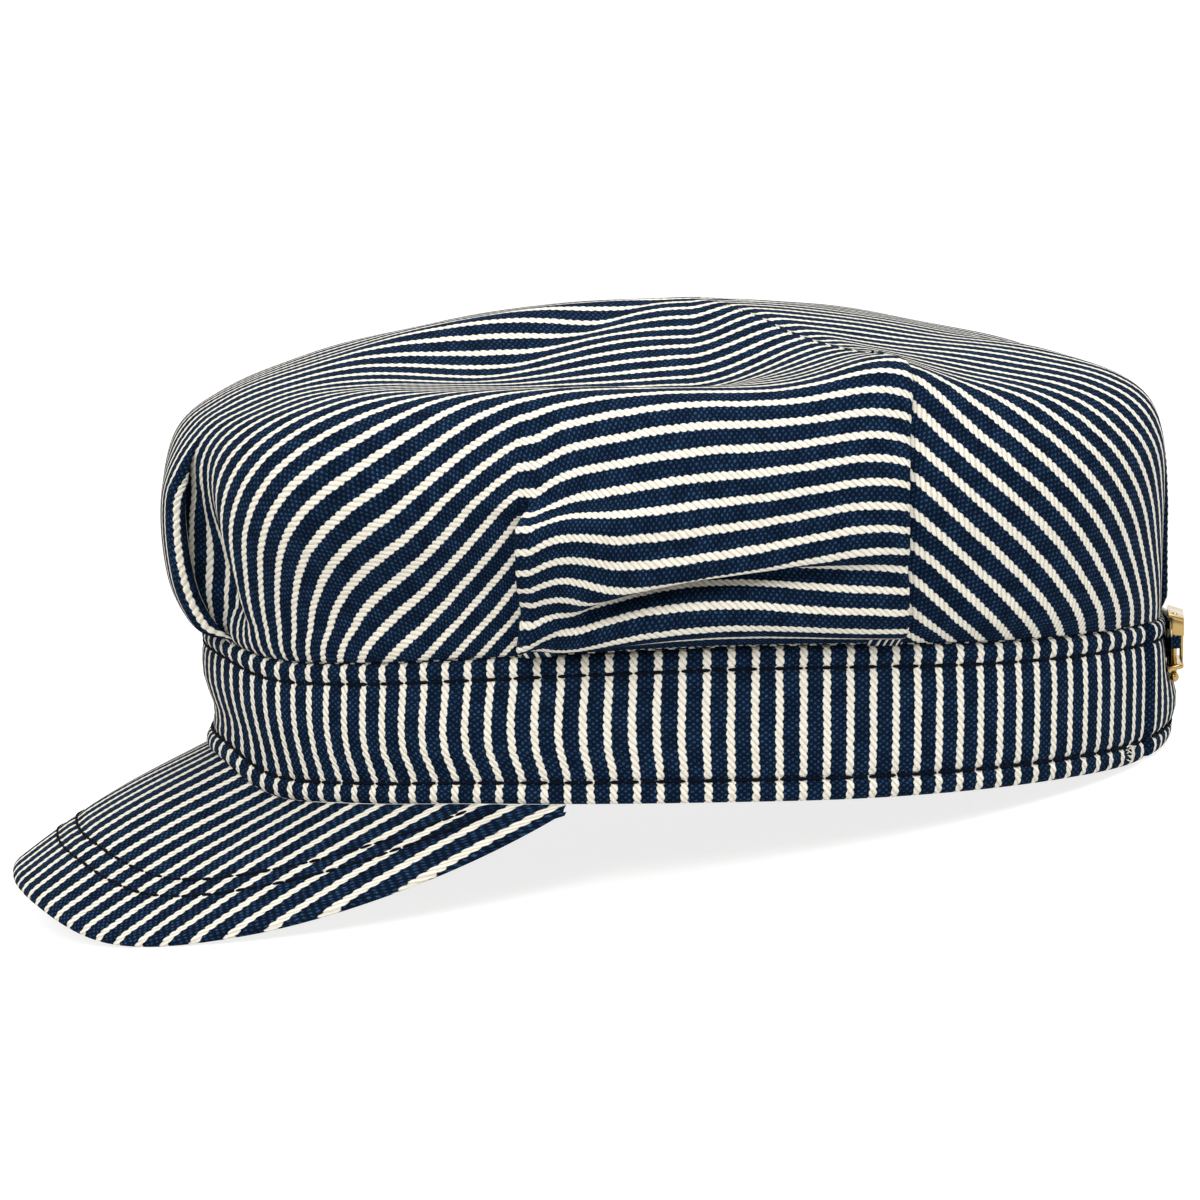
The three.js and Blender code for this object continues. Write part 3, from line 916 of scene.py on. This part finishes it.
def rolled_edge(angle, wall):
    """The peak's rounded front edge, from its top face round to its underside."""
    tip = peak_point(angle, PEAK_ALONG[-1])
    nose = peak_point(angle, 1.0)
    middle = tip - Vector((0, 0, wall / 2))
    reach = Vector((nose.x - tip.x, nose.y - tip.y, 0))
    reach += reach.normalized() * EDGE_BULGE
    drop = nose.z - tip.z
    roll = []
    for k in range(1, EDGE_ROLL):
        t = math.pi * k / EDGE_ROLL
        fall = Vector((0, 0, wall / 2 * math.cos(t) + drop * math.sin(t)))
        roll.append(middle + reach * math.sin(t) + fall)
    return roll


def make_peak():
    places, flat = [], []
    for angle in ring_angles(-PEAK_CORNER, PEAK_CORNER, 0.9):
        wall = peak_shape(angle)[-1]
        column = [peak_point(angle, a, peak_groove(angle, a)) for a in PEAK_ALONG]
        column += rolled_edge(angle, wall)
        column += [peak_point(angle, a) - Vector((0, 0, wall)) for a in PEAK_ALONG[::-1]]
        places.append(column)
        flat.append([(across_peak(p), walk) for p, walk in zip(column, lengths_along(column))])
    return lay_cloth("peak_cloth", places, flat)


peak = make_peak()

# %% [markdown]
# The strap is a folded strip of cloth about a centimetre wide that lies over the back of the
# band and goes into the buckle. Its stripes run along it. It is the same section, a thin
# rounded slab, carried round the back.

# %% Strap
STRAP_TOP = 28.4
STRAP_WIDTH = 10.0
STRAP_WALL = 1.1
STRAP_FROM = 168.5
STRAP_TO = 204.0


def strap_near(angle):
    return band_swell(angle, 0.58) + 0.2


def slab_section(width, wall, corner=0.35):
    """A rounded slab's outline as (across, outwards) pairs, starting at its lower back."""
    half = width / 2 - corner
    end = [(0.7 * corner, wall - 0.3 * corner), (corner, wall / 2), (0.7 * corner, 0.3 * corner)]
    outline = [(mix(-half, half, k / 12), wall) for k in range(13)]
    outline += [(half + beyond, out) for beyond, out in end]
    outline += [(mix(half, -half, k / 6), 0.0) for k in range(7)]
    outline += [(-half - beyond, out) for beyond, out in reversed(end)]
    return outline + outline[:1]


def make_strap():
    middle = STRAP_TOP - STRAP_WIDTH / 2
    outline = slab_section(STRAP_WIDTH, STRAP_WALL)
    angles = ring_angles(STRAP_FROM, STRAP_TO, 0.7)
    places, flat = [], []
    for angle, run in zip(angles, lengths_along([oval(angle, 4) for angle in angles])):
        column = []
        for across, out in outline:
            point = oval(angle) + outwards(angle) * (strap_near(angle) + out)
            point.z = middle + across
            column.append(point)
        places.append(column)
        flat.append([(across + HALF_STRIPE, run) for across, _ in outline])
    return lay_cloth("strap_cloth", places, flat, closed=True)


strap = make_strap()

# %% [markdown]
# The buckle is small brass work: a flat box frame, open at one end, with a pin across that
# end. It is made from bars, one for each side, and every bar gets rounded edges, because
# bright metal shows its shape by the light it catches along them.

# %% Brass buckle and its pin
BUCKLE_ANGLE = 171.0
BUCKLE_LENGTH = 18.0
BUCKLE_HEIGHT = 12.6
BRASS_WALL = 0.8
PIN_X = 6.0
PIN_RADIUS = 0.6
PIN_BALL = 1.1
BUCKLE_NEAR = strap_near(BUCKLE_ANGLE)
BUCKLE_DEPTH = 3.5
RAIL = 1.2
RAIL_SLOPE = math.tan(math.radians(16))
BRASS_ROUND = 0.3
COVER_END = -1.2
CATCH_HEIGHT = 4.6
COVER_FAR = BUCKLE_NEAR + BUCKLE_DEPTH
COVER_NEAR = COVER_FAR - BRASS_WALL
PIN_FAR = BUCKLE_NEAR + 1.5

buckle_out = outwards(BUCKLE_ANGLE)
buckle_turn = math.atan2(buckle_out.y, buckle_out.x) - math.pi / 2
buckle_place = oval(BUCKLE_ANGLE)
buckle_place.z = STRAP_TOP - STRAP_WIDTH / 2
from_buckle = to_rest @ Matrix.Translation(buckle_place) @ Matrix.Rotation(buckle_turn, 4, "Z")


def add_bar(form, low, high):
    """A bar with rounded edges between two corners, in the buckle's frame in mm."""
    middle = [(a + b) / 2 for a, b in zip(low, high)]
    size = [b - a for a, b in zip(low, high)]
    made = bmesh.ops.create_cube(form, size=1)["verts"]
    bmesh.ops.scale(form, vec=size, verts=made)
    bmesh.ops.translate(form, vec=middle, verts=made)
    edges = list({edge for vertex in made for edge in vertex.link_edges})
    bmesh.ops.bevel(form, geom=edges, offset=BRASS_ROUND, segments=3, affect="EDGES",
                    profile=0.5, material=-1)


half_length, half_height = BUCKLE_LENGTH / 2, BUCKLE_HEIGHT / 2
frame_form = bmesh.new()
for side in (-1, 1):
    low_z, high_z = sorted((side * half_height, side * (half_height - RAIL)))
    add_bar(frame_form, (-half_length, BUCKLE_NEAR, low_z), (half_length, COVER_FAR, high_z))
add_bar(frame_form, (-half_length, COVER_NEAR, -half_height + 0.1),
        (COVER_END, COVER_FAR, half_height - 0.1))
add_bar(frame_form, (half_length - 1.0, BUCKLE_NEAR + 0.1, half_height - CATCH_HEIGHT),
        (half_length - 0.1, COVER_FAR, half_height - 0.1))
for vertex in frame_form.verts:
    vertex.co.z *= 1 - (vertex.co.y - BUCKLE_NEAR) * RAIL_SLOPE / half_height
bmesh.ops.transform(frame_form, matrix=from_buckle, verts=frame_form.verts)
buckle = finish_form(frame_form, "buckle_brass")

pin_form = bmesh.new()
pin_top = half_height - 0.2
pin_bottom = -half_height - 0.3 - PIN_BALL * 0.8
pin_rod = bmesh.ops.create_cone(
    pin_form, cap_ends=True, segments=20, radius1=PIN_RADIUS, radius2=PIN_RADIUS,
    depth=pin_top - pin_bottom,
)["verts"]
bmesh.ops.translate(pin_form, vec=(PIN_X, PIN_FAR, (pin_top + pin_bottom) / 2), verts=pin_rod)
pin_ball = bmesh.ops.create_uvsphere(
    pin_form, u_segments=24, v_segments=14, radius=PIN_BALL
)["verts"]
bmesh.ops.translate(pin_form, vec=(PIN_X, PIN_FAR, pin_bottom), verts=pin_ball)
bmesh.ops.transform(pin_form, matrix=from_buckle, verts=pin_form.verts)
pin = finish_form(pin_form, "pin_brass")

# %% [markdown]
# A short loop of cloth holds the buckle's pin. It goes round the pin and is sewn down on the
# band beside the seam. Its outline is the same rounded slab as the strap's, carried along a
# path that runs in from the band, round the pin and back.

# %% Tab round the pin
TAB_WIDTH = 6.4
TAB_MIDDLE = 1.8
TAB_WALL = 0.7
TAB_TAIL = 5.2


def tab_path():
    """The middle line of the tab's cloth in the buckle's frame, as (x, out)."""
    eye = PIN_RADIUS + 0.1 + TAB_WALL / 2
    near = BUCKLE_NEAR + TAB_WALL / 2 - 0.1
    start = [(PIN_X + TAB_TAIL - 1.3 * k, near + TAB_WALL - 0.5 * (1 - k / 4)) for k in range(4)]
    loop = []
    for k in range(13):
        a = math.radians(50 + 230 * k / 12)
        loop.append((PIN_X + eye * math.cos(a), PIN_FAR + eye * math.sin(a)))
    end = [(PIN_X + 0.9 + 1.2 * k, near - 0.1 * k) for k in range(4)]
    return start + loop + end


def make_tab():
    outline = slab_section(TAB_WIDTH, TAB_WALL, 0.3)
    path = [Vector((x, y, 0)) for x, y in tab_path()]
    to_cap = Matrix.Translation(buckle_place) @ Matrix.Rotation(buckle_turn, 4, "Z")
    places, flat = [], []
    for k, (p, run) in enumerate(zip(path, lengths_along(path))):
        ahead = path[min(k + 1, len(path) - 1)] - path[max(k - 1, 0)]
        side = Vector((ahead.y, -ahead.x, 0)).normalized()
        places.append([
            to_cap @ (p + side * (out - TAB_WALL / 2) + Vector((0, 0, across + TAB_MIDDLE)))
            for across, out in outline
        ])
        flat.append([(across + 2.0, run) for across, _ in outline])
    return lay_cloth("tab_cloth", places, flat, closed=True)


tab = make_tab()

# %% [markdown]
# Each stitch is a short bead of dark thread that sinks into the cloth at both ends. One bead
# is made for every stitch and turned to follow its row, along both edges of the band and
# along the edge of the peak.

# %% Rows of stitches
STITCH_LENGTH = 2.5
STITCH_GAP = 0.15
THREAD = 0.4
CURVE_STEPS = 900
BAND_SPANS = ((1 - BAND_SEAM, BAND_SEAM - 1), (BAND_SEAM + 2, 358 - BAND_SEAM))
BAND_ROWS = [
    # share of the band's height, face of the front and of the back band in mm
    (0.145, (-0.42, -0.17)),
    (0.858, (-0.46, -0.21)),
]


def add_stitch(form, a, b, radius):
    """One bead of thread from a to b, in the upright cap's frame."""
    made = bmesh.ops.create_uvsphere(form, u_segments=6, v_segments=5, radius=1)["verts"]
    turn_to = (b - a).normalized().to_track_quat("Z", "X").to_matrix().to_4x4()
    size = Matrix.Diagonal((radius, radius, (b - a).length / 2, 1))
    place = to_rest @ Matrix.Translation((a + b) / 2) @ turn_to @ size
    bmesh.ops.transform(form, matrix=place, verts=made)


def stitch_row(form, point_at, start, end):
    """Beads along a curve, each one stitch long."""
    line = [point_at(mix(start, end, k / CURVE_STEPS)) for k in range(CURVE_STEPS + 1)]
    walk, made, begin = 0.0, 0, line[0]
    for a, b in zip(line, line[1:]):
        walk += (b - a).length
        if walk >= STITCH_LENGTH + STITCH_GAP:
            along = (b - begin).normalized()
            add_stitch(form, begin, b - along * STITCH_GAP, THREAD)
            made += 1
            begin, walk = b, 0.0
    return made


def peak_along(angle, inside):
    """How far out on the peak a row lies that keeps a distance inside its edge."""
    _, run, slope, _ = peak_shape(angle)
    return 1 - inside * math.cos(slope) / run


def peak_row(angle, inside):
    """A point of a row along the peak's edge, a little above its groove."""
    along = max(peak_along(angle, inside), 0.0)
    return peak_point(angle, along, peak_groove(angle, along) + 0.12)


def row_end(inside):
    """The angle where a row along the peak's edge reaches the band."""
    angle = PEAK_CORNER
    while peak_along(angle, inside) < 0.02:
        angle -= 0.5
    return angle


beads = 0
band_thread = bmesh.new()
for share, faces in BAND_ROWS:
    for face, (start, end) in zip(faces, BAND_SPANS):
        row = functools.partial(band_point, share=share, face=face)
        beads += stitch_row(band_thread, row, start, end)
band_stitching = finish_form(band_thread, "band_stitching")

peak_thread = bmesh.new()
for inside in STITCH_ROWS:
    end = row_end(inside)
    beads += stitch_row(peak_thread, functools.partial(peak_row, inside=inside), -end, end)
peak_stitching = finish_form(peak_thread, "peak_stitching")
print("stitches:", beads)

# %% [markdown]
# Near the back of the left side one white cord has frayed at the band's lower edge. It is a
# small tuft of loose ends, made from the same beads as the stitches, with a fixed seed so
# that it comes out the same every time.

# %% A frayed tuft on the band's edge
TUFT_ANGLE = 148.5
TUFT_SHARE = 0.1
TUFT_ENDS = 26
STRAND = 0.11

chance = random.Random(5)
tuft_form = bmesh.new()
for _ in range(TUFT_ENDS):
    angle = TUFT_ANGLE + chance.uniform(-0.8, 0.8)
    root = band_point(angle, TUFT_SHARE + chance.uniform(-0.05, 0.05), 0.05)
    stray = Vector([chance.uniform(-1, 1) for _ in range(3)])
    end = root + (stray + outwards(TUFT_ANGLE) * 0.5) * chance.uniform(0.35, 0.8)
    add_stitch(tuft_form, root - outwards(TUFT_ANGLE) * 0.2, end, STRAND)
tuft = finish_form(tuft_form, "frayed_tuft")

# %% [markdown]
# The colours come last. Hickory stripe is a blue twill with a thick white cord woven in,
# which bulges at every turn of the cord, so its two edges look scalloped. The material works
# that out from the flat cloth's own map: a stripe every 4.8 mm, its half width swelling and
# shrinking every 1.6 mm, with a fine weave over everything. Noise makes the threads wander,
# since no weave is perfectly even.

# %% The woven stripe
STRIPE_PITCH = 4.8
STRIPE_HALF = 0.56
SCALLOP = 0.3
SCALLOP_PITCH = 1.6

NAVY_DARK = (0.0006, 0.0022, 0.0075, 1)
NAVY_LIGHT = (0.027, 0.072, 0.16, 1)
CREAM = (0.71, 0.695, 0.63, 1)
# A darker cream, for random patches and for the painted shade in the cord's grooves.
CREAM_TONE_AND_SHADE = (0.48, 0.43, 0.32, 1)
CORD_TWIST = 4.4
WEAVE_ACROSS = 1.5
WEAVE_ALONG = 1.2
EDGE_SHIFT = CORD_TWIST * 0.375


def on_the_flat(desk):
    """The place on the flat cloth in mm: as a vector, and across and along the stripes."""
    cloth_map = desk.add("ShaderNodeUVMap", uv_map="cloth")
    to_mm = desk.add("ShaderNodeVectorMath", operation="SCALE")
    desk.join(cloth_map.outputs["UV"], to_mm.inputs[0])
    to_mm.inputs["Scale"].default_value = 1 / MM
    flat_mm = to_mm.outputs[0]
    parts = desk.add("ShaderNodeSeparateXYZ")
    desk.join(flat_mm, parts.inputs[0])
    drift = desk.math("SUBTRACT", desk.noise(flat_mm, 0.18), 0.5)
    across = desk.math("MULTIPLY_ADD", drift, 0.5, parts.outputs["X"])
    jitter = desk.math("SUBTRACT", desk.noise(flat_mm, 0.9), 0.5)
    along = desk.math("MULTIPLY_ADD", jitter, 0.9, parts.outputs["Y"])
    return flat_mm, across, along, jitter


def white_cord(desk, flat_mm, across, along):
    """How far a point lies from the middle of its cord, and 1 where it is on the cord."""
    turns = desk.math("DIVIDE", across, STRIPE_PITCH)
    turns = desk.math("SUBTRACT", turns, desk.math("FLOOR", turns))
    from_middle = desk.math("MULTIPLY", desk.math("SUBTRACT", turns, 0.5), STRIPE_PITCH)
    side = desk.math("SIGN", from_middle)
    phase = desk.math("MULTIPLY", along, math.pi / SCALLOP_PITCH)
    phase = desk.math("MULTIPLY_ADD", side, EDGE_SHIFT, phase)
    scallop = desk.math("ABSOLUTE", desk.math("SINE", phase))
    ragged = desk.math("SUBTRACT", desk.noise(flat_mm, 2.6, 3, 0.6), 0.5)
    half = desk.math("MULTIPLY_ADD", scallop, SCALLOP, STRIPE_HALF)
    half = desk.math("MULTIPLY_ADD", ragged, 0.3, half)
    inside = desk.math("SUBTRACT", half, desk.math("ABSOLUTE", from_middle))
    return from_middle, desk.ramp(inside, -0.07, 0.07)


def cord_turns(desk, from_middle, along):
    """The turns of the twisted cord, from -1 in a groove to 1 on a strand."""
    turned = desk.math("MULTIPLY_ADD", from_middle, CORD_TWIST, -math.pi / 2)
    turned = desk.math("MULTIPLY_ADD", along, 2 * math.pi / SCALLOP_PITCH, turned)
    return desk.math("SINE", turned)


def weave_dots(desk, across, along, jitter):
    """1 on each small float of pale thread in the navy twill."""
    weft = desk.math("MULTIPLY", across, 2 * math.pi / WEAVE_ACROSS)
    weft = desk.math("SINE", desk.math("MULTIPLY_ADD", jitter, 1.5, weft))
    warp = desk.math("SINE", desk.math("MULTIPLY", along, 2 * math.pi / WEAVE_ALONG))
    return desk.ramp(desk.math("MULTIPLY", weft, warp), 0.1, 0.75)


print("stripe pitch, mm:", STRIPE_PITCH)

# %% [markdown]
# The stripe, the cord's turns and the weave now give the colour, and a small bump so that
# the cord and the floats catch the light. The grooves between the cord's turns get painted
# shade, a darker cream, on top of random darker patches in the cotton. Washed cotton is
# dull, so it hardly shines.

# %% Striped cotton
def make_striped_cotton():
    desk = NodeDesk(bpy.data.materials.new("striped_cotton"))
    flat_mm, across, along, jitter = on_the_flat(desk)
    from_middle, white = white_cord(desk, flat_mm, across, along)
    dots = weave_dots(desk, across, along, jitter)
    cord = cord_turns(desk, from_middle, along)
    grain = desk.noise(flat_mm, 3.2, 3, 0.7)

    specks = desk.math("MULTIPLY", dots, desk.ramp(grain, 0.32, 0.68, 0.12, 1.15))
    specks = desk.math("MULTIPLY_ADD", grain, 0.2, specks)
    faded = desk.ramp(desk.noise(flat_mm, 0.25, 3), 0.3, 0.7, 0.4, 0.95)
    navy = desk.blend(desk.math("MULTIPLY", specks, faded), NAVY_DARK, NAVY_LIGHT)
    # Random darker patches of the cream, from noise.
    wear_and_groove_shade = desk.math("MULTIPLY", desk.ramp(grain, 0.4, 0.8), 0.35)
    # Painted shade: the cream darkens along the grooves between the twisted cord's turns.
    wear_and_groove_shade = desk.math("ADD", wear_and_groove_shade, desk.ramp(cord, -1.0, 0.1, 0.75, 0.0))
    cream = desk.blend(wear_and_groove_shade, CREAM, CREAM_TONE_AND_SHADE)
    desk.join(desk.blend(white, navy, cream), desk.shader.inputs["Base Color"])

    raised = desk.math("MULTIPLY", white, desk.math("MULTIPLY_ADD", cord, 0.4, 1.2))
    raised = desk.math("MULTIPLY_ADD", dots, 0.35, raised)
    raised = desk.math("MULTIPLY_ADD", grain, 0.4, raised)
    bumps = desk.add("ShaderNodeBump")
    desk.join(raised, bumps.inputs["Height"])
    bumps.inputs["Distance"].default_value = 0.22 * MM
    bumps.inputs["Strength"].default_value = 0.8
    desk.join(bumps.outputs["Normal"], desk.shader.inputs["Normal"])
    desk.fill({"Roughness": 0.95, "Specular IOR Level": 0.03})
    return desk.owner


striped_cotton = make_striped_cotton()

# %% [markdown]
# The thread is nearly black and dull, and the frayed strands are the cord's own cotton. The
# brass is polished but worn, so its roughness wanders a little from place to place.

# %% Thread and brass
DARK = (0.003, 0.004, 0.008, 1)
LOOSE_WHITE = (0.9, 0.88, 0.8, 1)
BRASS = (0.44, 0.31, 0.12, 1)


def rubbed(desk, scale):
    """Noise that stays with the piece, so it doesn't depend on the view."""
    return desk.noise(desk.add("ShaderNodeTexCoord").outputs["Object"], scale)


dark_thread = NodeDesk(bpy.data.materials.new("dark_thread"))
dark_thread.fill({"Base Color": DARK, "Roughness": 0.9, "Specular IOR Level": 0.05})

loose = NodeDesk(bpy.data.materials.new("loose_white_thread"))
fibres = loose.blend(rubbed(loose, 2500), CREAM_TONE_AND_SHADE, LOOSE_WHITE)
loose.join(fibres, loose.shader.inputs["Base Color"])
loose.fill({"Roughness": 0.9})

polished = NodeDesk(bpy.data.materials.new("polished_brass"))
rub = polished.ramp(rubbed(polished, 260), 0.3, 0.7, 0.17, 0.27)
polished.join(rub, polished.shader.inputs["Roughness"])
polished.fill({"Base Color": BRASS, "Metallic": 1.0})
print("materials:", ", ".join(sorted(material.name for material in bpy.data.materials)))

# %% [markdown]
# Each piece now gets its material, and takes the place of the solid that stood for it. All of
# them ride on the one body, since nothing on a sewn cap turns or slides.

# %% Dress the pieces
COTTON = ("striped_cotton", striped_cotton)
BRASS_SLOT = ("brass", polished.owner)
DRESS = [
    (crown, "crown", *COTTON),
    (band, "band", *COTTON),
    (band_back, "band_back", *COTTON),
    (peak, "peak", *COTTON),
    (strap, "strap", *COTTON),
    (tab, "buckle_tab", *COTTON),
    (buckle, "buckle_frame", *BRASS_SLOT),
    (pin, "buckle_pin", *BRASS_SLOT),
    (band_stitching, None, None, dark_thread.owner),
    (peak_stitching, None, None, dark_thread.owner),
    (tuft, None, None, loose.owner),
]
for piece, node, slot, material in DRESS:
    piece.data.materials.append(material)
    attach(piece, "root")
    if node:
        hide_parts(node)
print("pieces:", len(DRESS))

# %% [markdown]
# The picture is shown with plain colours, so the white table comes out white.

# %% Finish
bpy.context.scene.view_settings.view_transform = "Standard"
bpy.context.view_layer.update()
